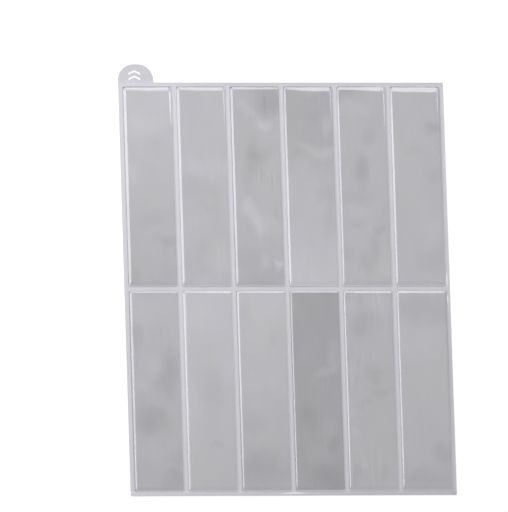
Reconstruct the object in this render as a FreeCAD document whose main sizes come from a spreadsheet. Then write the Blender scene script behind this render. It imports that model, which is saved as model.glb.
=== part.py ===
import FreeCAD, Part
import math
import os

import Sketcher
from FreeCAD import Vector

# Peel and stick backsplash sheet, in millimetres.
# A printed carrier film lies on a release liner of the same outline, and two rows of tall gel tiles
# stand on the film. The outline has a rounded pull tab above its top left corner.
# Origin: middle of the rectangular sheet, on the back of the liner. +X runs across the columns,
# +Y runs along the tiles towards the tab, +Z comes out of the tiled face.

SIZES = (
    ("tile_width", 36.0, "gel tile, across the sheet"),
    ("tile_length", 145.5, "gel tile, along the sheet"),
    ("column_count", 6, "gel tiles in a row"),
    ("row_count", 2, "rows of gel tiles"),
    ("grout_width", 3.0, "printed line between neighbouring tiles"),
    ("border_width", 3.0, "printed margin from the outer tiles to the edge of the sheet"),
    ("sheet_corner_radius", 1.0, "corners of the sheet away from the tab"),
    ("tab_end_width", 2.6, "straight end of the pull tab, between its shoulders"),
    ("tab_shoulder_radius", 11.5, "round shoulders of the tab, flush with the sheet's left side"),
    ("tab_side_height", 0.8, "straight side of the tab, between its shoulder and its root"),
    ("tab_root_radius", 1.0, "hollow where the tab leaves the top edge"),
    ("liner_thickness", 0.15, "coated paper of the release liner"),
    ("film_thickness", 0.45, "printed film with the coat of glue on its back"),
    ("skirt_height", 0.4, "upright foot of a gel tile"),
    ("roll_width", 1.8, "rolled edge of a gel tile, seen from above"),
    ("roll_height", 1.0, "rise of the rolled edge, from the foot to the flat face"),
    ("face_corner_radius", 0.3, "corners of a gel tile's flat face, inside the rolled edge"),
)

# The section that trims a gel tile's edge reaches this far outside the tile.
TRIM_MARGIN = 0.5

# Names that a sketch gives to the points of an edge, and to its own origin.
START, END, CENTRE = 1, 2, 3
ORIGIN = (-1, 1)

doc = FreeCAD.newDocument("backsplash_sheet")
sheet = doc.addObject("Spreadsheet::Sheet", "Sizes")
for line, (alias, value, note) in enumerate(SIZES, start=1):
    sheet.set(f"A{line}", note)
    sheet.set(f"B{line}", str(value))
    sheet.setAlias(f"B{line}", alias)
doc.recompute()


def size(alias):
    """Value of a cell of the size sheet."""
    return float(sheet.get(alias))


# Sizes that follow from the sheet of sizes, as formulas.
COLUMN_PITCH = "(Sizes.tile_width + Sizes.grout_width)"
ROW_PITCH = "(Sizes.tile_length + Sizes.grout_width)"
SHEET_WIDTH = f"(Sizes.column_count * {COLUMN_PITCH} - Sizes.grout_width + 2 * Sizes.border_width)"
SHEET_LENGTH = f"(Sizes.row_count * {ROW_PITCH} - Sizes.grout_width + 2 * Sizes.border_width)"
TILE_HEIGHT = "(Sizes.skirt_height + Sizes.roll_height)"
TILE_CORNER_RADIUS = "(Sizes.roll_width + Sizes.face_corner_radius)"


def span(count, tile):
    """Size of the sheet along so many tiles."""
    grout = size("grout_width")
    return count * (tile + grout) - grout + 2 * size("border_width")


# The overall sizes as numbers, with which the outline is first drawn.
columns = round(size("column_count"))
rows = round(size("row_count"))
sheet_width = span(columns, size("tile_width"))
sheet_length = span(rows, size("tile_length"))


def new_body(name):
    """Empty body whose label is the name of the piece."""
    body = doc.addObject("PartDesign::Body", name)
    body.Label = name
    return body


def new_sketch(body, name, plane_role):
    """Sketch on one of the origin planes of a body."""
    sketch = body.newObject("Sketcher::SketchObject", name)
    plane = next(item for item in body.Origin.OriginFeatures if item.Role == plane_role)
    sketch.AttachmentSupport = [(plane, "")]
    sketch.MapMode = "FlatFace"
    return sketch


def draw_line(sketch, start, end):
    """Straight edge between two points, kept level or upright."""
    edge = sketch.addGeometry(Part.LineSegment(Vector(*start, 0), Vector(*end, 0)), False)
    level = abs(start[1] - end[1]) < abs(start[0] - end[0])
    sketch.addConstraint(Sketcher.Constraint("Horizontal" if level else "Vertical", edge))
    return edge


def draw_arc(sketch, centre, radius, begin, finish):
    """Arc round a centre, between two angles."""
    circle = Part.Circle(Vector(*centre, 0), Vector(0, 0, 1), radius)
    return sketch.addGeometry(Part.ArcOfCircle(circle, begin, finish), False)


def draw_quarter(sketch, centre, radius, quarter):
    """Quarter round that starts after the given number of quarter turns."""
    return draw_arc(sketch, centre, radius, quarter * math.pi / 2, (quarter + 1) * math.pi / 2)


def drive(sketch, name, formula, *constraint):
    """Adds a dimension and ties it to a formula."""
    number = sketch.addConstraint(Sketcher.Constraint(*constraint))
    sketch.renameConstraint(number, name)
    sketch.setExpression(f"Constraints.{name}", formula)


def drive_radii(sketch, name, formula, arcs, radius):
    """Ties the radius of the first arc to a formula, and makes the others equal to it."""
    drive(sketch, name, formula, "Radius", arcs[0], radius)
    for arc in arcs[1:]:
        sketch.addConstraint(Sketcher.Constraint("Equal", arcs[0], arc))


def join_loop(sketch, kind, loop):
    """Joins the leaving point of each (edge, entering point, leaving point) to the next entering point."""
    for (edge, _, leaving), (following, entering, _) in zip(loop, loop[1:] + loop[:1]):
        sketch.addConstraint(Sketcher.Constraint(kind, edge, leaving, following, entering))


def draw_sheet_outline(sketch):
    """Outline of the film and of the liner: a rectangle with a tab flush with its left side."""
    right = sheet_width / 2
    top = sheet_length / 2
    corner = size("sheet_corner_radius")
    shoulder = size("tab_shoulder_radius")
    root = size("tab_root_radius")
    end_width = size("tab_end_width")
    side_height = size("tab_side_height")
    tab_right = end_width + 2 * shoulder - right
    tab_top = top + root + side_height + shoulder

    bottom_side = draw_line(sketch, (corner - right, -top), (right - corner, -top))
    bottom_right = draw_quarter(sketch, (right - corner, corner - top), corner, 3)
    right_side = draw_line(sketch, (right, corner - top), (right, top - corner))
    top_right = draw_quarter(sketch, (right - corner, top - corner), corner, 0)
    top_side = draw_line(sketch, (right - corner, top), (tab_right + root, top))
    hollow = draw_quarter(sketch, (tab_right + root, top + root), root, 2)
    tab_side = draw_line(sketch, (tab_right, top + root), (tab_right, tab_top - shoulder))
    right_shoulder = draw_quarter(sketch, (tab_right - shoulder, tab_top - shoulder), shoulder, 0)
    tab_end = draw_line(sketch, (tab_right - shoulder, tab_top), (shoulder - right, tab_top))
    left_shoulder = draw_quarter(sketch, (shoulder - right, tab_top - shoulder), shoulder, 1)
    left_side = draw_line(sketch, (-right, tab_top - shoulder), (-right, corner - top))
    bottom_left = draw_quarter(sketch, (corner - right, corner - top), corner, 2)

    sheet_edges = (bottom_side, bottom_right, right_side, top_right, top_side)
    tab_edges = (tab_side, right_shoulder, tab_end, left_shoulder, left_side, bottom_left)
    loop = [(edge, START, END) for edge in sheet_edges]
    loop.append((hollow, END, START))
    loop += [(edge, START, END) for edge in tab_edges]
    join_loop(sketch, "Tangent", loop)

    corners = (bottom_right, top_right, bottom_left)
    drive_radii(sketch, "corner", "Sizes.sheet_corner_radius", corners, corner)
    drive_radii(sketch, "shoulder", "Sizes.tab_shoulder_radius", (right_shoulder, left_shoulder), shoulder)
    drive_radii(sketch, "root", "Sizes.tab_root_radius", (hollow,), root)
    drive(sketch, "left_reach", f"{SHEET_WIDTH} / 2", "DistanceX", left_side, END, *ORIGIN, right)
    drive(sketch, "bottom_reach", f"{SHEET_LENGTH} / 2", "DistanceY", bottom_side, START, *ORIGIN, top)
    drive(sketch, "width", SHEET_WIDTH, "DistanceX", left_side, END, right_side, START, sheet_width)
    drive(sketch, "length", SHEET_LENGTH, "DistanceY", bottom_side, END, top_side, START, sheet_length)
    drive(sketch, "tab_end", "Sizes.tab_end_width", "DistanceX", tab_end, END, tab_end, START, end_width)
    drive(
        sketch, "tab_side", "Sizes.tab_side_height",
        "DistanceY", tab_side, START, tab_side, END, side_height,
    )


def draw_tile_outline(sketch):
    """Foot of a gel tile: a rectangle with round corners, its middle on the origin."""
    width = size("tile_width")
    length = size("tile_length")
    corner = size("roll_width") + size("face_corner_radius")
    right = width / 2
    top = length / 2

    bottom_side = draw_line(sketch, (corner - right, -top), (right - corner, -top))
    bottom_right = draw_quarter(sketch, (right - corner, corner - top), corner, 3)
    right_side = draw_line(sketch, (right, corner - top), (right, top - corner))
    top_right = draw_quarter(sketch, (right - corner, top - corner), corner, 0)
    top_side = draw_line(sketch, (right - corner, top), (corner - right, top))
    top_left = draw_quarter(sketch, (corner - right, top - corner), corner, 1)
    left_side = draw_line(sketch, (-right, top - corner), (-right, corner - top))
    bottom_left = draw_quarter(sketch, (corner - right, corner - top), corner, 2)

    edges = (bottom_side, bottom_right, right_side, top_right, top_side, top_left, left_side, bottom_left)
    join_loop(sketch, "Tangent", [(edge, START, END) for edge in edges])
    sketch.addConstraint(Sketcher.Constraint("Symmetric", bottom_side, START, top_side, START, *ORIGIN))
    corners = (bottom_right, top_right, top_left, bottom_left)
    drive_radii(sketch, "corner", TILE_CORNER_RADIUS, corners, corner)
    drive(sketch, "width", "Sizes.tile_width", "DistanceX", left_side, END, right_side, START, width)
    drive(sketch, "length", "Sizes.tile_length", "DistanceY", bottom_side, END, top_side, START, length)


def draw_roll_section(sketch):
    """What is trimmed off a gel tile's upper edge, seen on end at the middle of its right side.

    The arc leaves the flat face level and meets the upright foot where the roll ends, so its centre
    is straight below the edge of the flat face.
    """
    side = size("tile_width") / 2
    foot = size("skirt_height")
    across = size("roll_width")
    rise = size("roll_height")
    face = foot + rise
    radius = (across**2 + rise**2) / (2 * rise)
    centre = (side - across, face - radius)
    begin = math.atan2(foot - centre[1], across)

    roll = draw_arc(sketch, centre, radius, begin, math.pi / 2)
    inner = draw_line(sketch, (side - across, face), (side - across, face + TRIM_MARGIN))
    outer_corner = (side + TRIM_MARGIN, face + TRIM_MARGIN)
    above = draw_line(sketch, (side - across, face + TRIM_MARGIN), outer_corner)
    outer = draw_line(sketch, outer_corner, (side + TRIM_MARGIN, foot))
    below = draw_line(sketch, (side + TRIM_MARGIN, foot), (side, foot))

    join_loop(sketch, "Coincident", [(edge, START, END) for edge in (roll, inner, above, outer, below)])
    sketch.addConstraint(Sketcher.Constraint("Vertical", roll, CENTRE, roll, END))
    sketch.addConstraint(Sketcher.Constraint("DistanceY", inner, START, inner, END, TRIM_MARGIN))
    sketch.addConstraint(Sketcher.Constraint("DistanceX", below, END, below, START, TRIM_MARGIN))
    drive(sketch, "side", "Sizes.tile_width / 2", "DistanceX", *ORIGIN, roll, START, side)
    drive(sketch, "foot", "Sizes.skirt_height", "DistanceY", *ORIGIN, roll, START, foot)
    drive(sketch, "across", "Sizes.roll_width", "DistanceX", roll, END, roll, START, across)
    drive(sketch, "rise", "Sizes.roll_height", "DistanceY", roll, START, roll, END, rise)


def make_flat_layer(name, thickness, height):
    """Flat layer with the outline of the whole sheet, its back at the given height."""
    body = new_body(name)
    outline = new_sketch(body, f"{name}_outline", "XY_Plane")
    draw_sheet_outline(outline)
    pad = body.newObject("PartDesign::Pad", f"{name}_pad")
    pad.Profile = outline
    pad.setExpression("Length", thickness)
    body.setExpression("Placement.Base.z", height)
    return body


def make_gel_tile(name, column, row):
    """Gel tile with an upright foot and an edge that rolls over to the flat face."""
    body = new_body(name)
    outline = new_sketch(body, f"{name}_outline", "XY_Plane")
    draw_tile_outline(outline)
    block = body.newObject("PartDesign::Pad", f"{name}_block")
    block.Profile = outline
    block.setExpression("Length", TILE_HEIGHT)

    section = new_sketch(body, f"{name}_roll_section", "XZ_Plane")
    draw_roll_section(section)
    roll = body.newObject("PartDesign::SubtractivePipe", f"{name}_roll")
    roll.Profile = section
    roll.Spine = outline

    body.setExpression(
        "Placement.Base.x",
        f"{column} * {COLUMN_PITCH} + Sizes.border_width + Sizes.tile_width / 2 - {SHEET_WIDTH} / 2",
    )
    body.setExpression(
        "Placement.Base.y",
        f"{SHEET_LENGTH} / 2 - {row} * {ROW_PITCH} - Sizes.border_width - Sizes.tile_length / 2",
    )
    body.setExpression("Placement.Base.z", "Sizes.liner_thickness + Sizes.film_thickness")
    return body


pieces = [
    make_flat_layer("release_liner", "Sizes.liner_thickness", "0"),
    make_flat_layer("carrier_film", "Sizes.film_thickness", "Sizes.liner_thickness"),
]
for row in range(rows):
    for column in range(columns):
        pieces.append(make_gel_tile(f"gel_tile_row{row + 1}_col{column + 1}", column, row))
doc.recompute()

for item in doc.Objects:
    if "Invalid" in item.State or "Error" in item.State:
        raise RuntimeError(f"{item.Label} did not build: {item.State}")
    if item.TypeId == "PartDesign::SubtractivePipe" and item.Shape.Volume >= item.BaseFeature.Shape.Volume:
        raise RuntimeError(f"{item.Label} trimmed nothing")
for piece in pieces:
    if piece.Shape.isNull() or not piece.Shape.isValid() or len(piece.Shape.Solids) != 1:
        raise RuntimeError(f"{piece.Label} is not one valid solid")

os.makedirs("parts", exist_ok=True)
for piece in pieces:
    piece.Shape.exportStep(f"parts/{piece.Label}.step")
    box = piece.Shape.BoundBox
    print(
        f"{piece.Label}: {box.XLength:.2f} x {box.YLength:.2f} x {box.ZLength:.3f} mm, "
        f"{piece.Shape.Volume / 1000:.3f} cm3"
    )
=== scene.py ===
import math
import random
from collections import namedtuple

import bpy
from mathutils import Matrix, Vector


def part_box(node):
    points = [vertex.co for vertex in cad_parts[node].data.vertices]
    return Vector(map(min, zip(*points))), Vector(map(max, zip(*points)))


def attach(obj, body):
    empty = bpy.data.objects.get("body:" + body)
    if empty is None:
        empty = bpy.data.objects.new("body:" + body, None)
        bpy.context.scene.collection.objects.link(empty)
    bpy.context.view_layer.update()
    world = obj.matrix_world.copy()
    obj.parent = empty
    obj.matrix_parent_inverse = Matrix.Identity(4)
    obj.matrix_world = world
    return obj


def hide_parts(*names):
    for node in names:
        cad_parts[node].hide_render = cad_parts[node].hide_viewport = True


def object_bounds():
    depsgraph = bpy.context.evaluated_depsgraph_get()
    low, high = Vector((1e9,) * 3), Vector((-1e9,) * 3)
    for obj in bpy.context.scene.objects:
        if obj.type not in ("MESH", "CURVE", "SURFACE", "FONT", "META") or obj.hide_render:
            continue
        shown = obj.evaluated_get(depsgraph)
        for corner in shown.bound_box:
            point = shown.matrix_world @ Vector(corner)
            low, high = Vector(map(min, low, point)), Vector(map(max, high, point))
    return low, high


# Looks of a peel and stick backsplash sheet: twelve glossy grey gel tiles on a printed film with a
# paper liner, lying flat. Lengths named with _MM are millimetres, and all others are metres. Angles
# are degrees, and levels are tones as sRGB values from 0 to 255.

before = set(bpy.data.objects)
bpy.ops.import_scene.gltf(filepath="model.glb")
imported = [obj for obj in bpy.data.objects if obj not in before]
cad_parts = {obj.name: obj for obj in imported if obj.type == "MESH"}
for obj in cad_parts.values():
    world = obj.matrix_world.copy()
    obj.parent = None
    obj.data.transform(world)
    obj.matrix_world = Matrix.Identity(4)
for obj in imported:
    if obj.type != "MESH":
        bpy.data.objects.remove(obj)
cad_low, cad_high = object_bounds()
first_low, first_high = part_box("gel_tile_row1_col1")
second_low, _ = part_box("gel_tile_row1_col2")

MM = 0.001
COLUMNS = 6
ROWS = 2
UP = Vector((0, 0, 1))
FULL_LEVEL = 255.0
GAMMA = 2.2

# Edges of the sheet, whose rectangle has its middle at the origin, the end of its tab, and the pitch
# of the columns and the gap between them, all from the frame.
LEFT_MM = cad_low.x / MM
RIGHT_MM = cad_high.x / MM
LOW_MM = cad_low.y / MM
TOP_MM = -LOW_MM
TAB_END_MM = cad_high.y / MM
PITCH_MM = (second_low.x - first_low.x) / MM
GAP_MM = (second_low.x - first_high.x) / MM

# Camera, fitted to the four corners of the sheet in the photograph.
CAMERA_AZIMUTH = -47.08
CAMERA_ELEVATION = 75.92
CAMERA_ROLL = 46.12
CAMERA_DISTANCE = 12.0
CAMERA_TARGET_MM = (-23.6, 23.7, 0.6)
CAMERA_LENS_MM = 1177.9
CAMERA_CLIP = (0.5, 40.0)

# Light. A radiance of 1 is the white of the background. A panel's azimuth is 0 towards +Y and 90
# towards +X, and its distance is from the middle of the sheet.
WORLD_LEVEL = 0.55
LAMP_COLOUR = (0.985, 0.988, 1.0)
Panel = namedtuple("Panel", "name azimuth elevation distance width height radiance")
PANELS = (
    Panel("key_panel", -45, 58, 0.75, 0.34, 0.34, 2.6),
    Panel("left_panel", -78, 42, 0.8, 0.34, 0.34, 3.7),
    Panel("top_panel", 12, 42, 0.8, 0.3, 0.34, 3.45),
)

# Floor: the share of light that it gives back, and how much it glows near the sheet and far from it.
FLOOR_SHARE = 0.6
FLOOR_GLOWS = (0.55, 0.7)
FLOOR_GLOW_PLACES = (0.25, 0.7)
FLOOR_RADIUS = 3.0
FLOOR_POINTS = 64

# Gel tile, as modelled here inside the box of its solid.
CORNER_RADIUS_MM = 1.3
FACE_CORNER_RADIUS_MM = 0.5
RIGHT_WIDTH_MM = 1.3
RIGHT_SLOPES = (15, 15, 17, 18, 21, 23)
RIGHT_FOOT_MM = 0.5
# Painted shade along the foot of the last column's right side, darker at the top than at the bottom.
LAST_RIGHT_SHADE_LINES = (0.8, 0.1)
BOTTOM_WIDTH_MM = 3.5
BOTTOM_SLOPE = 10
BOTTOM_FOOT_MM = 0.35
# The bottom edges' skirts in rows 1 and 2: the film's pale tone, also painted light over their shade.
BOTTOM_SKIRTS = (0.8, 1.0)
LEFT_BULGE_MM = 0.05
LOWEST_KNEE_SHARE = 0.1
RIM_SLOPE = 0.35
RIM_TAPER = 0.6
RIM_DIP_REACH_MM = 28.0
RIM_DIP_FULL_MM = 2.5
CURL_SHARE = 0.09
WAVE_MM = (0.02, 0.05)
WAVE_TURN = 9
SEED = 11
CORNER_STEPS = 8
FACE_STEP_MM = 2.2
EDGE_STATIONS_MM = (0.3, 0.65, 1.05, 1.6, 2.6, 4.2)
SHARP_ANGLE = 50

# How the foot's painted shade line, the corner's painted shade dot and the skirt's pale tone, the
# film's tone with painted light on the right and bottom edges, fade up a tile's edge.
LINE_FADE = 0.5
DOT_REACH = 0.6
SKIRT_START = 0.5
SKIRT_FADE = 4
FOOT_TURN = 0.35

# Textures of noise: the scale along the tiles as a share of the one across them, the waves in a
# millimetre, the detail and the roughness. Most of a noise lies within the range.
Texture = namedtuple("Texture", "along scale detail roughness")
PRINT_WARP = Texture(0.5, 0.08, 2, 0.5)
PRINT_CLOUDS = Texture(0.45, 0.06, 5, 0.55)
PRINT_STROKES = Texture(0.06, 0.55, 4, 0.6)
STROKE_PLACES = Texture(0.6, 0.05, 1, 0.5)
GEL_GRAIN = Texture(1, 3.2, 2, 0.7)
GEL_TINTS = Texture(0.6, 0.035, 2, 0.5)
GEL_SMEARS = Texture(0.5, 0.12, 3, 0.5)
GEL_WAVES = Texture(1, 0.1, 2, 0.5)
FILM_GRAIN = Texture(1, 2.4, 4, 0.7)
FILM_MOTTLE = Texture(0.7, 0.09, 3, 0.5)
LINER_FIBRES = Texture(0.25, 1.4, 5, 0.65)
LINER_CLOUDS = Texture(1, 0.05, 3, 0.5)
NOISE_RANGE = (0.3, 0.7)

# Gel: a clear glossy coat over a print. The shifts set the textures of one tile apart from the next
# one's, brush strokes show only in places, and a patch fades out between two shares of its size.
# The foot's level is painted shade, for the dark line and dot where a tile meets the film. The skirt's
# level is the film's pale tone, also painted light over the shade of the right and bottom edges.
FOOT_SHADE_LEVEL = 91.8
SKIRT_TONE_AND_LIGHT_LEVEL = 232.0
COOL_TINT = (0.9895, 0.9755, 1.046, 1)
WARM_TINT = (0.992, 0.983, 1.026, 1)
TINT_RANGE = (0.4, 0.6)
TINT_SHIFT_MM = (29, 17, 0)
PRINT_STRENGTH = 4
PRINT_SHIFT_MM = (37, 61, 13)
WARP_REACH_MM = (9, 18, 0)
STROKE_RANGE = (0.45, 0.62)
STROKE_SHARES = (0.05, 1.0)
PATCH_FADE = (0.1, 1.4)
GEL_GRAIN_LEVELS = 5.0
GEL_ROUGHNESS = (0.1, 0.2)
GEL_COAT_ROUGHNESS = 0.06
GEL_WAVE_DEPTH_MM = 0.02
PLASTIC_IOR = 1.5

# Film: its level, and how it changes between the columns, along the sheet's edges and on the tab. The
# changes between the columns and along the low and right edges are painted light and shade.
FILM_LEVEL = 208.0
FILM_GRAIN_LEVELS = 9.0
FILM_MOTTLE_LEVELS = 8.0
FILM_TINT_SHARES = (0.2, 0.9)
FILM_ROUGHNESS = (0.34, 0.46)
GRAIN_DEPTH_MM = 0.012
# Painted light between the columns, strongest at the left of each line, where the tile beside it shades
# the film.
BETWEEN_PAINTED_LIGHT_CHANGES = (9.0, 0.0)
GAP_ENDS_ACROSS_MM = (RIGHT_MM - 18.5, RIGHT_MM - 6.5)
GAP_ENDS_UP_MM = (TOP_MM - 6.0, TOP_MM - 2.0)
MIDDLE_LINE_MM = (1.0, 4.0)
TOP_LEVEL_CHANGE = -5.0
TOP_EDGE_MM = (TOP_MM - 3.5, TOP_MM - 2.5)
TOP_EDGE_START_MM = (LEFT_MM + 28.5, LEFT_MM + 63.5)
# Painted light and shade along the low edge: lighter at its left, against the tiles' shade, and darker
# towards its right.
LOW_LIGHT_AND_SHADE_CHANGES = (4.0, -11.0)
LOW_EDGE_MM = (LOW_MM + 3.0, LOW_MM + 4.0)
LOW_EDGE_ENDS_MM = (LEFT_MM + 0.5, RIGHT_MM - 0.5)
# Painted light in the strip just below the tiles, against their shadow, and a little painted shade at the
# sheet's edge.
LOW_RIM_LIGHT_AND_SHADE_CHANGES = (-3.0, 10.0)
LOW_RIM_MM = (LOW_MM + 1.3, LOW_MM + 2.8)
# Painted shade along the right edge, darker towards the bottom.
RIGHT_PAINTED_SHADE_CHANGES = (2.0, -7.0)
RIGHT_EDGE_MM = (RIGHT_MM - 3.9, RIGHT_MM - 2.9)
RIGHT_EDGE_FALL_MM = (60.0, -60.0)
TAB_LEVEL_CHANGE = -11.0
TAB_START_MM = (TOP_MM - 3.0, TOP_MM + 3.0)

# Mark on the tab, two plain chevrons by their apexes, and small creases in the film near the sheet's
# edges, each with its middle and half its size. Each crease has a painted glint.
MARK_COLOUR = (0.93, 0.93, 0.95, 1)
CHEVRONS_MM = ((LEFT_MM + 11.9, TAB_END_MM - 5.0), (LEFT_MM + 11.9, TAB_END_MM - 8.9))
CHEVRON_SLOPE = 0.5
CHEVRON_STROKE_MM = 1.3
CHEVRON_HALF_MM = 4.2
CHEVRON_BLUR_MM = 0.1
CREASES_MM = (
    ((RIGHT_MM - 1.9, 6.0), (1.0, 9.0)),
    ((RIGHT_MM - 1.7, -8.0), (0.9, 5.0)),
    ((0.0, LOW_MM + 1.5), (14.0, 0.8)),
)
CREASE_HEIGHT_MM = 0.25
# Painted glint on the creases: the white, its largest share, and the part of a crease where it shows.
CREASE_GLINT_WHITE = (0.97, 0.97, 0.99, 1)
CREASE_GLINT_SHARE = 0.8
CREASE_GLINT_RANGE = (0.1, 0.7)
CREASE_COAT_RANGE = (0.0, 0.5)
CREASE_COAT_ROUGHNESS = 0.12

# Liner: coated release paper.
LINER_LEVEL = 234.0
LINER_TINT = (1.0, 0.99, 0.955)
FIBRE_LEVELS = 22.0
LINER_CLOUD_LEVELS = 18.0
LINER_ROUGHNESS = (0.38, 0.55)
FIBRE_DEPTH_MM = 0.01

# Half depth of a patch or a crease, far more than the sheet's, so that only its plan counts.
DEEP_MM = 1000

# How each tile is printed: its level at the top and at the bottom, how strong its clouds and its
# brush strokes are, and its soft patches. A patch has its place across and down the tile, its half
# width and half height, all four as shares of the tile's, its turn and its change of level.
TILE_PRINTS = {
    (1, 1): (
        186, 171, 3, 1,
        (
            (0.45, 0.18, 0.5, 0.06, 0, 4),
            (0.15, 0.42, 0.15, 0.07, 0, 5),
            (0.62, 0.3, 0.3, 0.05, 0, -4),
            (0.6, 0.66, 0.35, 0.05, 20, -6),
            (0.8, 0.76, 0.3, 0.05, 0, -7),
            (0.12, 0.96, 0.15, 0.05, 0, -5),
        ),
    ),
    (1, 2): (
        180, 181, 3, 2,
        (
            (0.6, 0.4, 0.7, 0.06, 0, 6),
            (0.3, 0.52, 0.45, 0.07, 0, -5),
            (0.45, 0.61, 0.4, 0.04, 0, -4),
            (0.3, 0.84, 0.3, 0.08, 0, -4),
            (0.75, 0.86, 0.3, 0.08, 0, 4),
            (0.4, 0.93, 0.3, 0.04, 0, -5),
        ),
    ),
    (1, 3): (
        174, 177, 4, 11,
        (
            (0.88, 0.06, 0.5, 0.09, 0, -15),
            (0.22, 0.09, 0.15, 0.03, 0, 6),
            (0.36, 0.13, 0.15, 0.03, 0, 6),
            (0.65, 0.19, 0.18, 0.04, 0, 11),
            (0.7, 0.25, 0.3, 0.05, 0, 4),
            (0.38, 0.35, 0.16, 0.1, 0, -9),
            (0.55, 0.34, 0.25, 0.04, 0, -6),
            (0.3, 0.48, 0.14, 0.08, 0, -4),
            (0.24, 0.6, 0.12, 0.05, 10, 6),
            (0.35, 0.65, 0.14, 0.08, 16, 9),
            (0.5, 0.72, 0.16, 0.1, 14, 10),
            (0.66, 0.68, 0.18, 0.04, 0, 4),
            (0.88, 0.72, 0.3, 0.06, 0, 6),
            (0.25, 0.87, 0.3, 0.06, 0, -5),
            (0.9, 0.88, 0.12, 0.02, 0, 11),
            (0.76, 0.9, 0.05, 0.03, 0, -6),
            (0.6, 0.88, 0.1, 0.03, 0, 7),
            (0.7, 0.96, 0.7, 0.05, 0, -9),
        ),
    ),
    (1, 4): (
        168, 190, 3, 3,
        (
            (0.5, 0.2, 1.3, 0.2, 0, -7),
            (0.5, 0.03, 0.3, 0.03, 0, 7),
            (0.85, 0.18, 0.16, 0.05, 0, 11),
            (0.75, 0.32, 0.5, 0.04, 0, 10),
            (0.3, 0.34, 0.3, 0.03, 0, -5),
            (0.85, 0.53, 0.3, 0.04, 0, -6),
            (0.9, 0.66, 0.25, 0.1, -15, -6),
        ),
    ),
    (1, 5): (
        175, 180, 4, 3,
        (
            (0.15, 0.03, 0.4, 0.05, 0, -9),
            (0.4, 0.12, 0.35, 0.04, 0, 5),
            (0.65, 0.25, 0.18, 0.05, 0, -5),
            (0.44, 0.41, 0.17, 0.09, -9, -14),
            (0.3, 0.55, 0.3, 0.05, 0, -4),
            (0.35, 0.63, 0.3, 0.04, 0, 4),
            (0.35, 0.7, 0.15, 0.025, 0, -5),
            (0.75, 0.715, 0.14, 0.025, 0, -9),
            (0.67, 0.8, 0.14, 0.06, 0, -8),
            (0.5, 0.88, 0.2, 0.05, 0, -7),
            (0.1, 0.85, 0.2, 0.05, 0, -6),
            (0.9, 0.92, 0.2, 0.06, 0, 4),
        ),
    ),
    (1, 6): (
        178, 182, 2, 1,
        (
            (0.9, 0.215, 0.25, 0.04, 0, -12),
            (0.45, 0.325, 0.25, 0.03, 0, -4),
            (0.85, 0.45, 0.2, 0.05, 0, -5),
            (0.8, 0.7, 0.3, 0.06, 0, 3),
            (0.8, 0.87, 0.4, 0.08, 0, -6),
        ),
    ),
    (2, 1): (
        178, 173, 3, 2,
        (
            (0.4, 0.12, 0.3, 0.09, 0, 4),
            (0.85, 0.1, 0.3, 0.1, 0, 3),
            (0.12, 0.23, 0.18, 0.07, 0, -7),
            (0.38, 0.37, 0.25, 0.06, 0, 4),
            (0.78, 0.4, 0.18, 0.13, 0, -14),
            (0.58, 0.46, 0.14, 0.07, 0, -7),
            (0.2, 0.48, 0.2, 0.04, 0, 4),
            (0.38, 0.65, 0.34, 0.09, 0, -14),
            (0.4, 0.81, 0.4, 0.05, 0, 3),
            (0.85, 0.83, 0.2, 0.05, 0, -5),
            (0.82, 0.94, 0.3, 0.05, 0, -8),
        ),
    ),
    (2, 2): (
        188, 181, 2, 1,
        (
            (0.3, 0.15, 0.5, 0.1, 0, 3),
            (0.55, 0.5, 0.28, 0.13, 0, -6),
            (0.62, 0.77, 0.15, 0.03, 0, -4),
            (0.9, 0.38, 0.25, 0.1, 0, 3),
            (0.1, 0.62, 0.2, 0.2, 0, 3),
        ),
    ),
    (2, 3): (
        188, 175, 2, 1,
        (
            (0.18, 0.12, 0.16, 0.07, 0, -5),
            (0.55, 0.1, 0.4, 0.08, 0, 2),
            (0.75, 0.25, 0.12, 0.06, 0, -4),
            (0.35, 0.45, 0.4, 0.05, 0, 3),
            (0.3, 0.67, 0.25, 0.06, 0, -5),
            (0.35, 0.88, 0.9, 0.1, 0, -11),
            (0.85, 0.85, 0.12, 0.05, 0, 5),
        ),
    ),
    (2, 4): (
        158, 162, 3, 3,
        (
            (0.85, 0.31, 0.16, 0.09, 0, 9),
            (0.66, 0.4, 0.42, 0.032, 32, 7),
            (0.2, 0.35, 0.2, 0.08, 0, 3),
            (0.33, 0.63, 0.28, 0.08, 0, -7),
            (0.7, 0.7, 0.2, 0.04, 0, 4),
            (0.4, 0.81, 0.3, 0.05, 0, 4),
            (0.78, 0.78, 0.14, 0.03, 0, -6),
            (0.72, 0.93, 0.45, 0.07, 0, -9),
        ),
    ),
    (2, 5): (
        177, 179, 3, 5,
        (
            (0.12, 0.07, 0.18, 0.04, 0, 5),
            (0.72, 0.07, 0.28, 0.07, 0, 6),
            (0.32, 0.05, 0.1, 0.05, 0, -5),
            (0.35, 0.18, 0.22, 0.07, 0, -9),
            (0.1, 0.4, 0.1, 0.07, 0, 5),
            (0.56, 0.42, 0.18, 0.05, 0, -9),
            (0.7, 0.5, 0.32, 0.028, 3, -7),
            (0.35, 0.57, 0.22, 0.03, 0, -5),
            (0.12, 0.72, 0.12, 0.04, 0, 6),
            (0.12, 0.9, 0.12, 0.06, 0, -8),
            (0.3, 0.85, 0.1, 0.04, 0, 5),
            (0.7, 0.93, 0.12, 0.05, 0, -4),
        ),
    ),
    (2, 6): (
        184, 181, 2, 1,
        (
            (0.5, 0.09, 1.1, 0.09, 0, -9),
            (0.45, 0.28, 0.6, 0.08, 0, 3),
            (0.15, 0.38, 0.12, 0.03, 0, -3),
            (0.9, 0.82, 0.28, 0.06, 0, -10),
            (0.4, 0.94, 1.0, 0.06, 0, -9),
        ),
    ),
}
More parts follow.
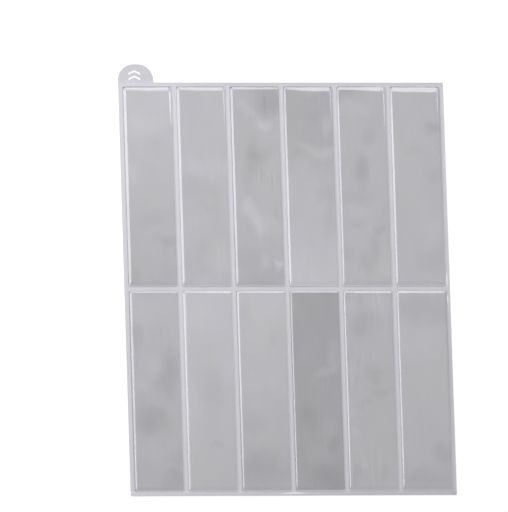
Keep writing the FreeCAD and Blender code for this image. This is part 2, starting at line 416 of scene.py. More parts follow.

# Rolled edges of a tile, in millimetres and degrees. The top edge has its width at its left and right
# ends, how far it bulges between them and how far it curls down at its right end. A slope is how
# steep an edge is, a foot is how far the gel stands out at the bottom of an edge, a line is how dark
# the painted shade along the foot is, from 0 to 1, and a skirt is how far the foot takes the pale tone
# of the film, from 0 to 1; on the right and bottom edges the skirt also paints light over their shade.
# The rim along the right side has the width of its flank and its length, and the dot is painted shade
# that darkens the top left corner.
Edges = namedtuple(
    "Edges", "top top_slope top_foot top_line top_skirt left left_slope left_foot left_line rim dot"
)
TILE_EDGES = {
    (1, 1): Edges((3.9, 4.0, 0.1, 0), 8.35, 0.85, 0.7, 0.0, 2.0, 27, 0.35, 0.35, (1.2, 28), 0.5),
    (1, 2): Edges((3.6, 3.7, 0.0, 0), 8.5, 0.65, 0.6, 0.0, 1.8, 27, 0.1, 0.0, (0.78, 37), 0.4),
    (1, 3): Edges((2.55, 2.3, 0.0, 0), 9.0, 0.6, 0.9, 0.0, 1.75, 27, 0.4, 0.2, (0.4, 14), 0.85),
    (1, 4): Edges((2.05, 3.4, 0.7, 0), 15.5, 0.4, 1.0, 0.0, 1.45, 28, 0.05, 0.0, (1.0, 34), 0.4),
    (1, 5): Edges((2.6, 4.0, -0.4, 1.5), 15.5, 0.4, 0.9, 0.0, 1.1, 28, 0.05, 0.0, (1.28, 37), 0.4),
    (1, 6): Edges((3.8, 4.2, 0.4, 0), 17, 0.5, 1.0, 0.0, 1.15, 28, 0.0, 0.0, (0.98, 38), 1.0),
    (2, 1): Edges((1.5, 1.6, 0.1, 0), 15, 0.7, 0.1, 0.2, 2.4, 19.5, 0.7, 0.5, (0.0, 0), 0.15),
    (2, 2): Edges((1.5, 1.9, 0.1, 0), 16, 0.5, 0.1, 0.0, 2.45, 20.2, 0.5, 0.0, (0.0, 0), 0.15),
    (2, 3): Edges((1.6, 1.7, 0.05, 0), 18, 0.8, 0.05, 0.1, 1.75, 23, 0.6, 0.25, (0.0, 0), 0.15),
    (2, 4): Edges((1.7, 1.8, 0.0, 0), 18, 0.8, 0.0, 0.5, 1.2, 27, 0.2, 0.3, (0.0, 0), 0.15),
    (2, 5): Edges((1.8, 2.2, 0.1, 0), 18, 0.6, 0.1, 0.1, 1.1, 28, 0.1, 0.1, (0.0, 0), 0.15),
    (2, 6): Edges((2.1, 2.3, 0.1, 0), 18, 0.5, 0.0, 0.0, 1.0, 29, 0.05, 0.0, (0.0, 0), 0.15),
}

# Rings from the film up to the flat face: the part of the edge, the share across it, and the share
# of its height.
RINGS = (
    ("foot", 0.0, 0.0),
    ("foot", 0.0, 0.25),
    ("foot", 0.12, 0.45),
    ("foot", 0.35, 0.68),
    ("foot", 0.7, 0.88),
    ("foot", 1.0, 1.0),
    ("ramp", 0.12, 0.14),
    ("ramp", 0.3, 0.34),
    ("ramp", 0.5, 0.55),
    ("ramp", 0.7, 0.75),
    ("ramp", 0.86, 0.9),
    ("ramp", 0.95, 0.975),
    ("ramp", 1.0, 1.0),
)


def smooth_step(low, high, value):
    """0 at low and beyond it, 1 at high and beyond it, and a smooth change between the two."""
    share = min(1.0, max(0.0, (value - low) / (high - low)))
    return share * share * (3 - 2 * share)


def make_camera():
    """Camera that looks down on the sheet from the photograph's angle."""
    azimuth = math.radians(CAMERA_AZIMUTH)
    elevation = math.radians(CAMERA_ELEVATION)
    back = Vector((
        math.cos(elevation) * math.sin(azimuth),
        -math.cos(elevation) * math.cos(azimuth),
        math.sin(elevation),
    ))
    level_right = (-back).cross(UP).normalized()
    roll = Matrix.Rotation(math.radians(CAMERA_ROLL), 3, back)
    right = roll @ level_right
    up = roll @ level_right.cross(-back)
    camera_data = bpy.data.cameras.new("camera")
    camera_data.lens = CAMERA_LENS_MM
    camera_data.clip_start, camera_data.clip_end = CAMERA_CLIP
    camera = bpy.data.objects.new("camera", camera_data)
    axes = Matrix((right, up, back)).transposed()
    place = Vector(CAMERA_TARGET_MM) * MM + back * CAMERA_DISTANCE
    camera.matrix_world = Matrix.Translation(place) @ axes.to_4x4()
    bpy.context.scene.collection.objects.link(camera)
    bpy.context.scene.camera = camera


class Nodes:
    """Short names for building the nodes of one material or world."""

    def __init__(self, tree):
        self.tree = tree

    def add(self, kind, settings=None, **inputs):
        """New node with settings and with values or links for its inputs, _ standing for a space."""
        node = self.tree.nodes.new(kind)
        for name, value in (settings or {}).items():
            setattr(node, name, value)
        for name, value in inputs.items():
            self.put(node.inputs[name.replace("_", " ")], value)
        return node

    def put(self, socket, value):
        """Links an output to the socket, or sets the socket to a plain value."""
        if isinstance(value, bpy.types.NodeSocket):
            self.tree.links.new(value, socket)
        else:
            socket.default_value = value

    def math(self, operation, *values):
        """Result of a math node."""
        node = self.add("ShaderNodeMath", {"operation": operation})
        for socket, value in zip(node.inputs, values):
            self.put(socket, value)
        return node.outputs[0]

    def vector(self, operation, *values):
        """Result of a vector math node, its length for LENGTH."""
        node = self.add("ShaderNodeVectorMath", {"operation": operation})
        for socket, value in zip(node.inputs, values):
            self.put(socket, value)
        return node.outputs["Value" if operation == "LENGTH" else "Vector"]

    def ramp(self, value, low, high, start, end, kind="LINEAR"):
        """Maps value from low..high to start..end, held at both ends."""
        node = self.add("ShaderNodeMapRange", {"interpolation_type": kind}, Value=value)
        for name, number in zip(("From Min", "From Max", "To Min", "To Max"), (low, high, start, end)):
            self.put(node.inputs[name], number)
        return node.outputs["Result"]

    def noise(self, texture, shift=(0, 0, 0), output="Fac"):
        """Noise all over the sheet, with a shift in millimetres."""
        node = self.add(
            "ShaderNodeTexNoise",
            Vector=self.place_mm(texture.along, shift),
            Scale=texture.scale,
            Detail=texture.detail,
            Roughness=texture.roughness,
        )
        return node.outputs[output]

    def mix_colour(self, share, first, second):
        """Mix of two colours."""
        node = self.add("ShaderNodeMix", {"data_type": "RGBA"})
        self.put(node.inputs[0], share)
        self.put(node.inputs[6], first)
        self.put(node.inputs[7], second)
        return node.outputs[2]

    def vary(self, level, texture, change):
        """Level with a texture around its middle added, times a change of level."""
        return self.math("MULTIPLY_ADD", self.math("SUBTRACT", texture, 0.5), change, level)

    def tone(self, tint, level):
        """Colour of a tint at a level."""
        colour = self.vector("SCALE", tint)
        share = self.math("DIVIDE", level, FULL_LEVEL)
        self.put(colour.node.inputs["Scale"], self.math("POWER", share, GAMMA))
        return colour

    def attribute(self, name):
        """Value of a mesh attribute."""
        return self.add("ShaderNodeAttribute", {"attribute_name": name}).outputs["Fac"]

    def place_mm(self, along=1, shift=(0, 0, 0)):
        """Place on the sheet in millimetres, scaled along the tiles and then shifted."""
        coordinates = self.add("ShaderNodeTexCoord").outputs["Object"]
        mapping = self.add("ShaderNodeMapping", Vector=coordinates)
        mapping.inputs["Scale"].default_value = (1 / MM, along / MM, 1 / MM)
        mapping.inputs["Location"].default_value = shift
        return mapping.outputs[0]

    def away(self, place, middle_mm, half_mm, turn=0):
        """Distance from the middle of a turned oval, 1 at its edge."""
        mapping = self.add("ShaderNodeMapping", {"vector_type": "TEXTURE"}, Vector=place)
        mapping.inputs["Location"].default_value = (*middle_mm, 0)
        mapping.inputs["Rotation"].default_value = (0, 0, math.radians(turn))
        mapping.inputs["Scale"].default_value = (*half_mm, DEEP_MM)
        return self.vector("LENGTH", mapping.outputs[0])


def new_material(name):
    """Empty material, its nodes and its surface shader."""
    material = bpy.data.materials.new(name)
    material.use_nodes = True
    material.node_tree.nodes.clear()
    nodes = Nodes(material.node_tree)
    shader = nodes.add("ShaderNodeBsdfPrincipled")
    output = nodes.add("ShaderNodeOutputMaterial")
    nodes.put(output.inputs["Surface"], shader.outputs[0])
    return material, nodes, shader


def add_bump(nodes, shader, height, depth_mm):
    """Fine relief of the given depth on a shader, and on its coat."""
    bump = nodes.add("ShaderNodeBump", Height=height, Strength=1.0, Distance=depth_mm * MM)
    nodes.put(shader.inputs["Normal"], bump.outputs[0])
    nodes.put(shader.inputs["Coat Normal"], bump.outputs[0])


def print_level(nodes, low, high, look, seed):
    """Level of the print all over one tile."""
    top, bottom, cloud, stroke, patches = look
    width_mm = (high.x - low.x) / MM
    length_mm = (high.y - low.y) / MM
    shift = [seed * number for number in PRINT_SHIFT_MM]
    back_shift = [-number for number in shift]
    warp_noise = nodes.noise(PRINT_WARP, shift, output="Color")
    warp = nodes.vector("MULTIPLY", nodes.vector("SUBTRACT", warp_noise, (0.5, 0.5, 0.5)), WARP_REACH_MM)
    warped = nodes.vector("ADD", nodes.place_mm(), warp)

    down = nodes.add("ShaderNodeSeparateXYZ", Vector=warped).outputs["Y"]
    level = nodes.ramp(down, high.y / MM, low.y / MM, top, bottom)
    level = nodes.vary(level, nodes.noise(PRINT_CLOUDS, shift), cloud * PRINT_STRENGTH)
    where = nodes.noise(STROKE_PLACES, back_shift)
    where = nodes.ramp(where, *STROKE_RANGE, *STROKE_SHARES, "SMOOTHSTEP")
    strokes = nodes.math("SUBTRACT", nodes.noise(PRINT_STROKES, shift), 0.5)
    strokes = nodes.math("MULTIPLY", strokes, where)
    level = nodes.math("MULTIPLY_ADD", strokes, stroke * PRINT_STRENGTH, level)

    for across, down, half_width, half_height, turn, change in patches:
        middle_mm = (low.x / MM + across * width_mm, high.y / MM - down * length_mm)
        half_mm = (half_width * width_mm, half_height * length_mm)
        away = nodes.away(warped, middle_mm, half_mm, turn)
        patch = nodes.ramp(away, *PATCH_FADE, 1.0, 0.0, "SMOOTHSTEP")
        level = nodes.math("MULTIPLY_ADD", patch, float(change), level)
    return level


def make_gel_material(name, low, high, look, seed):
    """Clear glossy gel over a print like brushed, cloudy stone, with painted shade where its foot meets
    the film.
    """
    material, nodes, shader = new_material(name)
    level = print_level(nodes, low, high, look, seed)
    level = nodes.vary(level, nodes.noise(GEL_GRAIN), GEL_GRAIN_LEVELS)
    drift = nodes.noise(GEL_TINTS, [seed * number for number in TINT_SHIFT_MM])
    drift = nodes.ramp(drift, *TINT_RANGE, 0.0, 1.0, "SMOOTHSTEP")
    tint = nodes.mix_colour(drift, COOL_TINT, WARM_TINT)
    colour = nodes.tone(tint, level)
    # The skirt: the film's pale tone at the thin edge, and painted light over the shade of the right and
    # bottom edges.
    colour = nodes.mix_colour(nodes.attribute("skirt"), colour, nodes.tone(tint, SKIRT_TONE_AND_LIGHT_LEVEL))
    # The foot: painted shade, a dark line where the gel meets the film and a dark dot at the top left
    # corner.
    colour = nodes.mix_colour(nodes.attribute("foot"), colour, nodes.tone(tint, FOOT_SHADE_LEVEL))
    nodes.put(shader.inputs["Base Color"], colour)

    smears = nodes.noise(GEL_SMEARS)
    nodes.put(shader.inputs["Roughness"], nodes.ramp(smears, *NOISE_RANGE, *GEL_ROUGHNESS))
    shader.inputs["IOR"].default_value = PLASTIC_IOR
    shader.inputs["Coat Weight"].default_value = 1.0
    shader.inputs["Coat Roughness"].default_value = GEL_COAT_ROUGHNESS
    add_bump(nodes, shader, nodes.noise(GEL_WAVES), GEL_WAVE_DEPTH_MM)
    return material


def chevron(nodes, place, apex_mm):
    """1 on a small chevron that points up, its apex at the given place, and 0 off it."""
    parts = nodes.add("ShaderNodeSeparateXYZ", Vector=place)
    across = nodes.math("ABSOLUTE", nodes.math("SUBTRACT", parts.outputs["X"], apex_mm[0]))
    middle = nodes.math("MULTIPLY_ADD", across, -CHEVRON_SLOPE, apex_mm[1])
    away = nodes.math("ABSOLUTE", nodes.math("SUBTRACT", parts.outputs["Y"], middle))
    half_stroke = CHEVRON_STROKE_MM / 2
    stroke = nodes.ramp(away, half_stroke, half_stroke + CHEVRON_BLUR_MM, 1.0, 0.0)
    end = nodes.ramp(across, CHEVRON_HALF_MM, CHEVRON_HALF_MM + CHEVRON_BLUR_MM, 1.0, 0.0)
    return nodes.math("MULTIPLY", stroke, end)


def gap_painted_light(nodes, across, up):
    """Painted light on the film between the columns, fading from the left to the right of each line."""
    from_middle = nodes.math("ABSOLUTE", up)
    inside_across = nodes.ramp(nodes.math("ABSOLUTE", across), *GAP_ENDS_ACROSS_MM, 1.0, 0.0)
    inside_up = nodes.math(
        "MULTIPLY",
        nodes.ramp(from_middle, *GAP_ENDS_UP_MM, 1.0, 0.0),
        nodes.ramp(from_middle, *MIDDLE_LINE_MM, 0.0, 1.0),
    )
    from_gap = nodes.math("WRAP", across, PITCH_MM / 2, -PITCH_MM / 2)
    change = nodes.ramp(from_gap, -GAP_MM / 2, GAP_MM / 2, *BETWEEN_PAINTED_LIGHT_CHANGES)
    return nodes.math("MULTIPLY", nodes.math("MULTIPLY", inside_across, inside_up), change)


def film_level_changes(nodes, place):
    """Slow change of the film's level: painted light and shade between the columns and along the low and
    right edges, and changes along the top edge and on the tab.
    """
    parts = nodes.add("ShaderNodeSeparateXYZ", Vector=place)
    across, up = parts.outputs["X"], parts.outputs["Y"]
    top_edge = nodes.math(
        "MULTIPLY",
        nodes.ramp(up, *TOP_EDGE_MM, 0.0, 1.0),
        nodes.ramp(across, *TOP_EDGE_START_MM, 0.0, 1.0),
    )
    low_edge = nodes.ramp(up, *LOW_EDGE_MM, 1.0, 0.0)
    low_change = nodes.math(
        "ADD",
        nodes.ramp(across, *LOW_EDGE_ENDS_MM, *LOW_LIGHT_AND_SHADE_CHANGES),
        nodes.ramp(up, *LOW_RIM_MM, *LOW_RIM_LIGHT_AND_SHADE_CHANGES),
    )
    right_edge = nodes.ramp(across, *RIGHT_EDGE_MM, 0.0, 1.0)
    right_change = nodes.ramp(up, *RIGHT_EDGE_FALL_MM, *RIGHT_PAINTED_SHADE_CHANGES)
    drift = nodes.ramp(up, *TAB_START_MM, 0.0, TAB_LEVEL_CHANGE, "SMOOTHSTEP")
    drift = nodes.math("MULTIPLY_ADD", right_edge, right_change, drift)
    drift = nodes.math("ADD", gap_painted_light(nodes, across, up), drift)
    drift = nodes.math("MULTIPLY_ADD", top_edge, TOP_LEVEL_CHANGE, drift)
    return nodes.math("MULTIPLY_ADD", low_edge, low_change, drift)


def make_film_material():
    """Printed vinyl film in the colour of grout, satin, with a fine grain, a mark on the tab and painted
    glints on creases.
    """
    material, nodes, shader = new_material("printed_film")
    place = nodes.place_mm()
    grain = nodes.noise(FILM_GRAIN)
    mottle = nodes.noise(FILM_MOTTLE)
    level = nodes.vary(FILM_LEVEL, grain, FILM_GRAIN_LEVELS)
    level = nodes.vary(level, mottle, FILM_MOTTLE_LEVELS)
    level = nodes.math("ADD", level, film_level_changes(nodes, place))
    warmth = nodes.ramp(mottle, *TINT_RANGE, *FILM_TINT_SHARES)
    tint = nodes.mix_colour(warmth, COOL_TINT, WARM_TINT)
    marks = [chevron(nodes, place, apex) for apex in CHEVRONS_MM]
    colour = nodes.mix_colour(nodes.math("MAXIMUM", *marks), nodes.tone(tint, level), MARK_COLOUR)

    creased = 0.0
    for middle_mm, half_mm in CREASES_MM:
        crease = nodes.ramp(nodes.away(place, middle_mm, half_mm), 0.0, 1.0, 1.0, 0.0, "SMOOTHSTEP")
        creased = nodes.math("MAXIMUM", creased, crease)
    # Painted glint: white mixed into the film's colour over the creases, which also get a coat and a
    # bump.
    painted_glint = nodes.ramp(creased, *CREASE_GLINT_RANGE, 0.0, CREASE_GLINT_SHARE)
    nodes.put(shader.inputs["Base Color"], nodes.mix_colour(painted_glint, colour, CREASE_GLINT_WHITE))
    nodes.put(shader.inputs["Roughness"], nodes.ramp(grain, *NOISE_RANGE, *FILM_ROUGHNESS))
    shader.inputs["IOR"].default_value = PLASTIC_IOR
    nodes.put(shader.inputs["Coat Weight"], nodes.ramp(creased, *CREASE_COAT_RANGE, 0.0, 1.0))
    shader.inputs["Coat Roughness"].default_value = CREASE_COAT_ROUGHNESS
    fine = nodes.math("MULTIPLY", grain, GRAIN_DEPTH_MM)
    add_bump(nodes, shader, nodes.math("MULTIPLY_ADD", creased, CREASE_HEIGHT_MM, fine), 1.0)
    return material


def make_liner_material():
    """Coated release paper: off-white with faint clouds and fibres."""
    material, nodes, shader = new_material("liner_paper")
    fibres = nodes.noise(LINER_FIBRES)
    level = nodes.vary(LINER_LEVEL, fibres, FIBRE_LEVELS)
    level = nodes.vary(level, nodes.noise(LINER_CLOUDS), LINER_CLOUD_LEVELS)
    nodes.put(shader.inputs["Base Color"], nodes.tone(LINER_TINT, level))
    nodes.put(shader.inputs["Roughness"], nodes.ramp(fibres, *NOISE_RANGE, *LINER_ROUGHNESS))
    add_bump(nodes, shader, fibres, FIBRE_DEPTH_MM)
    return material


def side_stations(length_mm):
    """Shares along one side of a face, close together near both of its ends."""
    middle = length_mm - 2 * EDGE_STATIONS_MM[-1]
    count = max(1, round(middle / FACE_STEP_MM))
    inner = [EDGE_STATIONS_MM[-1] + middle * step / count for step in range(1, count)]
    ends = list(EDGE_STATIONS_MM)
    places = [0.0, *ends, *inner, *[length_mm - place for place in reversed(ends)], length_mm]
    return [place / length_mm for place in places]


def ring_radius(ring):
    """Radius of a ring's corners, from the tile's own to the flat face's."""
    part, place, _ = ring
    inward = FOOT_TURN * place if part == "foot" else FOOT_TURN + (1 - FOOT_TURN) * place
    return CORNER_RADIUS_MM + (FACE_CORNER_RADIUS_MM - CORNER_RADIUS_MM) * inward


def ring_fades(ring):
    """How much a ring has of the foot's painted shade line, of the corner's painted shade dot and of the
    skirt's tone.
    """
    part, place, _ = ring
    if part == "foot":
        return 1 - LINE_FADE * place, 1.0, 1.0
    return 0.0, max(0.0, 1 - place / DOT_REACH), max(0.0, SKIRT_START - SKIRT_FADE * place)


class Side:
    """Rolled edge along one side of a tile: how wide it is from one end to the other, in millimetres."""

    def __init__(self, widths, slope, foot, lines, skirt, rng):
        self.start, self.end, self.bow, self.curl = widths
        self.foot = foot
        self.lines = lines
        self.skirt = skirt
        self.slope = math.tan(math.radians(slope))
        self.wave = rng.uniform(*WAVE_MM)
        self.phase = rng.uniform(0, 2 * math.pi)

    def width(self, share):
        """Width of the roll at a share of the side's length."""
        straight = self.start + (self.end - self.start) * share
        bowed = straight + 4 * self.bow * share * (1 - share)
        curled = bowed + self.curl * max(0.0, 1 - (1 - share) / CURL_SHARE) ** 2
        return curled + self.wave * math.sin(self.phase + WAVE_TURN * share) * math.sin(math.pi * share)

    def line(self, share):
        """How dark the painted shade line along the foot is at a share of the side's length."""
        return self.lines[0] + (self.lines[1] - self.lines[0]) * share

    def reach(self, ring, share):
        """Distance of a ring from the tile's outer edge."""
        part, across, _ = ring
        if part == "foot":
            return self.foot * across
        return self.foot + (self.width(share) - self.foot) * across

    def height(self, ring, share, full):
        """Height of a ring above the film, of a tile as high as full."""
        part, _, rise = ring
        ramp = (self.width(share) - self.foot) * self.slope
        knee = max(LOWEST_KNEE_SHARE * full, full - ramp)
        return knee * rise if part == "foot" else knee + (full - knee) * rise


class TileShape:
    """Surface of a gel tile: four rolled edges round a flat face, with a raised rim beside the right one.

    Places are in millimetres, from the top left corner of the tile's box to the right and up. Sides
    and corners are numbered clockwise from the top side and from the top left corner.
    """

    def __init__(self, low, high, sides, rim, dot):
        self.width = (high.x - low.x) / MM
        self.length = (high.y - low.y) / MM
        self.full = (high.z - low.z) / MM
        self.sides = sides
        self.rim_width, self.rim_length = rim
        self.dot = dot
        self.across = side_stations(self.width - 2 * CORNER_RADIUS_MM)
        self.along = side_stations(self.length - 2 * CORNER_RADIUS_MM)
        self.counts = [len(self.across), len(self.along)] * 2
        self.firsts = [sum(self.counts[:number]) + number * (CORNER_STEPS - 1) for number in range(4)]

    def dip(self, x, y):
        """How far the surface dips beside the rim of the right side, ever less from the top down."""
        top, right, _, _ = self.sides
        from_right = self.width - right.width(0) - x
        from_top = max(0.0, -y - top.width(1))
        if from_right <= 0 or from_top >= self.rim_length:
            return 0.0
        flank = self.rim_width * (1 - from_top / self.rim_length) ** RIM_TAPER
        fall = smooth_step(0.0, flank, from_right)
        fade = smooth_step(RIM_DIP_REACH_MM, RIM_DIP_FULL_MM, from_right)
        return RIM_SLOPE * flank * fall * fade

    def level_at(self, number, x):
        """Height of the tile's top beside a side, which dips with the rim along the top side."""
        return self.full - self.dip(x, 0.0) if number == 0 else self.full

    def corner_centre(self, ring, radius, corner):
        """Middle of a round corner of a ring."""
        top, right, bottom, left = self.sides
        level_side, upright_side = ((top, left), (top, right), (bottom, right), (bottom, left))[corner]
        level_share = (0, 1, 0, 1)[corner]
        upright_share = (1, 0, 1, 0)[corner]
        x = upright_side.reach(ring, upright_share) + radius
        y = level_side.reach(ring, level_share) + radius
        return (
            x if corner in (0, 3) else self.width - x,
            -y if corner in (0, 1) else y - self.length,
        )

    def side_point(self, ring, number, share):
        """Point of a ring on the straight part of a side."""
        side = self.sides[number]
        radius = ring_radius(ring)
        first = self.corner_centre(ring, radius, number)
        second = self.corner_centre(ring, radius, (number + 1) % 4)
        x = first[0] + (second[0] - first[0]) * share
        y = first[1] + (second[1] - first[1]) * share
        reach = side.reach(ring, share)
        if number == 0:
            y = -reach
        elif number == 1:
            x = self.width - reach
        elif number == 2:
            y = reach - self.length
        else:
            x = reach
        return x, y, side.height(ring, share, self.level_at(number, x))

    def corner_point(self, ring, number, share):
        """Point of a ring in the round corner that follows a side."""
        following = (number + 1) % 4
        radius = ring_radius(ring)
        centre = self.corner_centre(ring, radius, following)
        angle = math.pi / 2 * (1 - number - share)
        x = centre[0] + radius * math.cos(angle)
        y = centre[1] + radius * math.sin(angle)
        first_height = self.sides[number].height(ring, 1, self.level_at(number, x))
        second_height = self.sides[following].height(ring, 0, self.full)
        return x, y, first_height + (second_height - first_height) * share

    def side_shade(self, ring, number, share):
        """How much the gel has of the foot's painted shade line and of the skirt's tone along a side."""
        side = self.sides[number]
        line_fade, _, skirt_fade = ring_fades(ring)
        return side.line(share) * line_fade, side.skirt * skirt_fade

    def corner_shade(self, ring, number, share):
        """The same in the round corner that follows a side. The top left one has its painted shade dot.
        """
        side = self.sides[number]
        following = (number + 1) % 4
        after = self.sides[following]
        line_fade, dot_fade, skirt_fade = ring_fades(ring)
        dot = self.dot * math.sin(math.pi * share) if following == 0 else 0.0
        line = side.line(1) + (after.line(0) - side.line(1)) * share
        skirt = side.skirt + (after.skirt - side.skirt) * share
        return min(1.0, line * line_fade + dot * dot_fade), skirt * skirt_fade

    def ring_points(self, ring):
        """All the points of a ring, clockwise from the top side's left end, and their shades."""
        points = []
        shades = []
        for number in range(4):
            for share in (self.across, self.along)[number % 2]:
                points.append(self.side_point(ring, number, share))
                shades.append(self.side_shade(ring, number, share))
            for step in range(1, CORNER_STEPS):
                share = step / CORNER_STEPS
                points.append(self.corner_point(ring, number, share))
                shades.append(self.corner_shade(ring, number, share))
        return points, shades

    def face_edges(self, last_ring):
        """Four edges of the flat face's grid, one corner radius inside the last ring."""
        edges = []
        for number in range(4):
            inward_x = (0, 1, 0, -1)[number] * FACE_CORNER_RADIUS_MM
            inward_y = (1, 0, -1, 0)[number] * FACE_CORNER_RADIUS_MM
            first = self.firsts[number]
            points = last_ring[first:first + self.counts[number]]
            edges.append([(x - inward_x, y - inward_y) for x, y, _ in points])
        upper, right, lower, left = edges
        return upper, right, lower[::-1], left[::-1]

    def face_point(self, edges, row, column):
        """Point of the flat face's grid, spread between its four edges."""
        upper, right, lower, left = edges
        u = self.across[column]
        v = self.along[row]
        x, y = (
            (1 - v) * upper[column][axis] + v * lower[column][axis]
            + (1 - u) * left[row][axis] + u * right[row][axis]
            - (1 - u) * (1 - v) * upper[0][axis] - u * (1 - v) * upper[-1][axis]
            - (1 - u) * v * lower[0][axis] - u * v * lower[-1][axis]
            for axis in (0, 1)
        )
        return x, y, self.full - self.dip(x, y)


def band_faces(outer, inner, count):
    """Faces between two rings of count vertices, numbered from outer and from inner."""
    faces = []
    for step in range(count):
        after = (step + 1) % count
        faces.append((outer + step, inner + step, inner + after, outer + after))
    return faces


def grid_faces(grid):
    """Faces of a grid of vertices."""
    faces = []
    for upper, lower in zip(grid, grid[1:]):
        for column in range(len(upper) - 1):
            faces.append((upper[column], lower[column], lower[column + 1], upper[column + 1]))
    return faces


def border_faces(grid, firsts, inner, count):
    """Faces between the last ring of count vertices, numbered from inner, and the grid inside it."""
    borders = (
        grid[0],
        [line[-1] for line in grid],
        grid[-1][::-1],
        [line[0] for line in grid][::-1],
    )
    faces = []
    for first, border in zip(firsts, borders):
        for step in range(len(border) - 1):
            start = inner + first + step
            faces.append((start, border[step], border[step + 1], start + 1))
        for step in range(CORNER_STEPS):
            place = first + len(border) - 1 + step
            faces.append((inner + place, border[-1], inner + (place + 1) % count))
    return faces


def tile_mesh(name, low, high, shape):
    """Closed mesh of a gel tile inside its box.

    Its foot attribute says where the gel meets the film in a painted shade line, with a painted shade dot
    at the top left corner, and its skirt attribute where its thin edge takes the tone of the film, which
    on the right and bottom edges also paints light over their shade.
    """
    vertices = []
    shades = []
    faces = []
    count = sum(shape.counts) + 4 * (CORNER_STEPS - 1)
    for ring in RINGS:
        points, ring_shades = shape.ring_points(ring)
        if vertices:
            faces += band_faces(len(vertices) - count, len(vertices), count)
        vertices += points
        shades += ring_shades
    faces.append(tuple(range(count)))

    inner = len(vertices) - count
    edges = shape.face_edges(points)
    grid = []
    for row in range(len(shape.along)):
        start = len(vertices)
        grid.append(list(range(start, start + len(shape.across))))
        vertices += [shape.face_point(edges, row, column) for column in range(len(shape.across))]
    faces += grid_faces(grid)
    faces += border_faces(grid, shape.firsts, inner, count)
    shades += [(0.0, 0.0)] * (len(vertices) - len(shades))

    mesh = bpy.data.meshes.new(name)
    corner = Vector((low.x, high.y, low.z))
    mesh.from_pydata([corner + Vector(point) * MM for point in vertices], [], faces)
    for attribute_name, values in zip(("foot", "skirt"), zip(*shades)):
        attribute = mesh.attributes.new(attribute_name, "FLOAT", "POINT")
        attribute.data.foreach_set("value", values)
    mesh.shade_smooth()
    mesh.set_sharp_from_angle(angle=math.radians(SHARP_ANGLE))
    mesh.update()
    return mesh


def add_piece(name, mesh, material, slot, *nodes):
    """Puts a mesh in the scene as a piece that stands for the given nodes."""
    piece = bpy.data.objects.new(name, mesh)
    piece.data.materials.append(material)
    bpy.context.scene.collection.objects.link(piece)
    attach(piece, "root")
    if nodes:
        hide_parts(*nodes)
    return piece


def tile_sides(row, column, rng):
    """The four rolled edges of one tile: top, right, bottom and left."""
    edges = TILE_EDGES[row, column]
    top_lines = (edges.top_line, edges.top_line)
    right_widths = (RIGHT_WIDTH_MM, RIGHT_WIDTH_MM, 0, 0)
    right_lines = LAST_RIGHT_SHADE_LINES if column == COLUMNS else (0.0, 0.0)
    bottom_widths = (BOTTOM_WIDTH_MM, BOTTOM_WIDTH_MM, 0, 0)
    bottom_skirt = BOTTOM_SKIRTS[row - 1]
    left_widths = (edges.left, edges.left, LEFT_BULGE_MM, 0)
    left_lines = (edges.left_line, edges.left_line)
    # Foot lines are painted shade; the right and bottom skirts also paint light over the shade of these
    # edges, which face away from the lamps.
    return (
        Side(edges.top, edges.top_slope, edges.top_foot, top_lines, edges.top_skirt, rng),
        Side(right_widths, RIGHT_SLOPES[column - 1], RIGHT_FOOT_MM, right_lines, 1.0, rng),
        Side(bottom_widths, BOTTOM_SLOPE, BOTTOM_FOOT_MM, (0.0, 0.0), bottom_skirt, rng),
        Side(left_widths, edges.left_slope, edges.left_foot, left_lines, 0.0, rng),
    )


def make_tiles():
    """The twelve gel tiles, each with its own edge widths and print."""
    rng = random.Random(SEED)
    for row in range(1, ROWS + 1):
        for column in range(1, COLUMNS + 1):
            node = f"gel_tile_row{row}_col{column}"
            low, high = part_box(node)
            edges = TILE_EDGES[row, column]
            shape = TileShape(low, high, tile_sides(row, column, rng), edges.rim, edges.dot)
            mesh = tile_mesh(f"{node}_mesh", low, high, shape)
            number = column + COLUMNS * (row - 1)
            material = make_gel_material(f"{node}_gel", low, high, TILE_PRINTS[row, column], number + 1)
            add_piece(f"rolled_tile_row{row}_col{column}", mesh, material, "gel", node)


def dress_node(name, material):
    """Gives a node of the frame its material."""
    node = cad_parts[name]
    node.data.materials.clear()
    node.data.materials.append(material)


def make_panel(panel):
    """Soft rectangular lamp that faces the middle of the sheet."""
    turn = math.radians(panel.azimuth)
    rise = math.radians(panel.elevation)
    towards = Vector((math.sin(turn) * math.cos(rise), math.cos(turn) * math.cos(rise), math.sin(rise)))
    lamp_data = bpy.data.lights.new(panel.name, "AREA")
    lamp_data.shape = "RECTANGLE"
    lamp_data.size = panel.width
    lamp_data.size_y = panel.height
    lamp_data.color = LAMP_COLOUR
    lamp_data.energy = panel.radiance * math.pi * panel.width * panel.height
    lamp = bpy.data.objects.new(panel.name, lamp_data)
    lamp.location = towards * panel.distance
    lamp.rotation_euler = towards.to_track_quat("Z", "Y").to_euler()
    bpy.context.scene.collection.objects.link(lamp)


def camera_share(nodes):
    """1 for rays from the camera, and for those seen in gloss or through glass, and 0 for others."""
    path = nodes.add("ShaderNodeLightPath")
    seen = nodes.math("MAXIMUM", path.outputs["Is Camera Ray"], path.outputs["Is Glossy Ray"])
    return nodes.math("MAXIMUM", seen, path.outputs["Is Transmission Ray"])


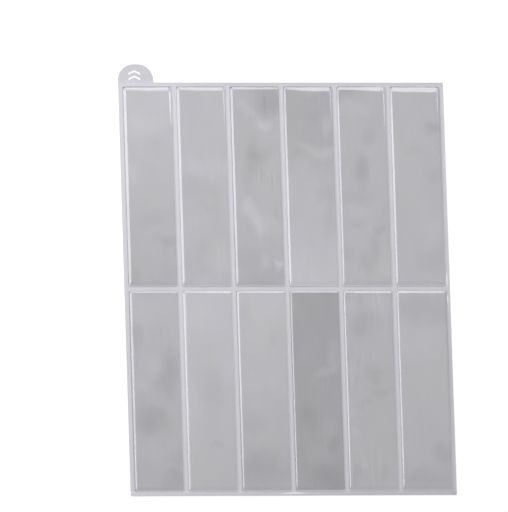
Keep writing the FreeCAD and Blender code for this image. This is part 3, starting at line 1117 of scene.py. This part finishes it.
def make_world():
    """White all round to the camera, and soft plain light on the object."""
    world = bpy.data.worlds.new("world")
    world.use_nodes = True
    world.node_tree.nodes.clear()
    nodes = Nodes(world.node_tree)
    strength = nodes.ramp(camera_share(nodes), 0.0, 1.0, WORLD_LEVEL, 1.0)
    background = nodes.add("ShaderNodeBackground", Color=(1, 1, 1, 1), Strength=strength)
    output = nodes.add("ShaderNodeOutputWorld")
    nodes.put(output.inputs["Surface"], background.outputs[0])
    bpy.context.scene.world = world


def make_floor_material():
    """Plain white that keeps a faint shadow of the sheet. It glows more where the lamps fade."""
    material = bpy.data.materials.new("floor_white")
    material.use_nodes = True
    material.node_tree.nodes.clear()
    nodes = Nodes(material.node_tree)
    matte = nodes.add("ShaderNodeBsdfDiffuse", Color=(FLOOR_SHARE, FLOOR_SHARE, FLOOR_SHARE, 1))
    glow = nodes.add("ShaderNodeEmission", Color=(1, 1, 1, 1))
    away = nodes.vector("LENGTH", nodes.add("ShaderNodeTexCoord").outputs["Object"])
    level = nodes.ramp(away, *FLOOR_GLOW_PLACES, *FLOOR_GLOWS, "SMOOTHSTEP")
    nodes.put(glow.inputs["Strength"], nodes.math("MULTIPLY", camera_share(nodes), level))
    both = nodes.add("ShaderNodeAddShader")
    nodes.put(both.inputs[0], matte.outputs[0])
    nodes.put(both.inputs[1], glow.outputs[0])
    output = nodes.add("ShaderNodeOutputMaterial")
    nodes.put(output.inputs["Surface"], both.outputs[0])
    return material


def make_floor():
    """Wide round floor under the sheet."""
    points = []
    for step in range(FLOOR_POINTS):
        angle = 2 * math.pi * step / FLOOR_POINTS
        points.append(Vector((math.cos(angle), math.sin(angle), 0)) * FLOOR_RADIUS)
    mesh = bpy.data.meshes.new("floor")
    mesh.from_pydata(points, [], [tuple(range(FLOOR_POINTS))])
    mesh.materials.append(make_floor_material())
    floor = bpy.data.objects.new("floor", mesh)
    bpy.context.scene.collection.objects.link(floor)


make_camera()
make_world()
make_floor()
for panel in PANELS:
    make_panel(panel)
make_tiles()
dress_node("carrier_film", make_film_material())
dress_node("release_liner", make_liner_material())

bpy.context.scene.view_settings.view_transform = "Standard"
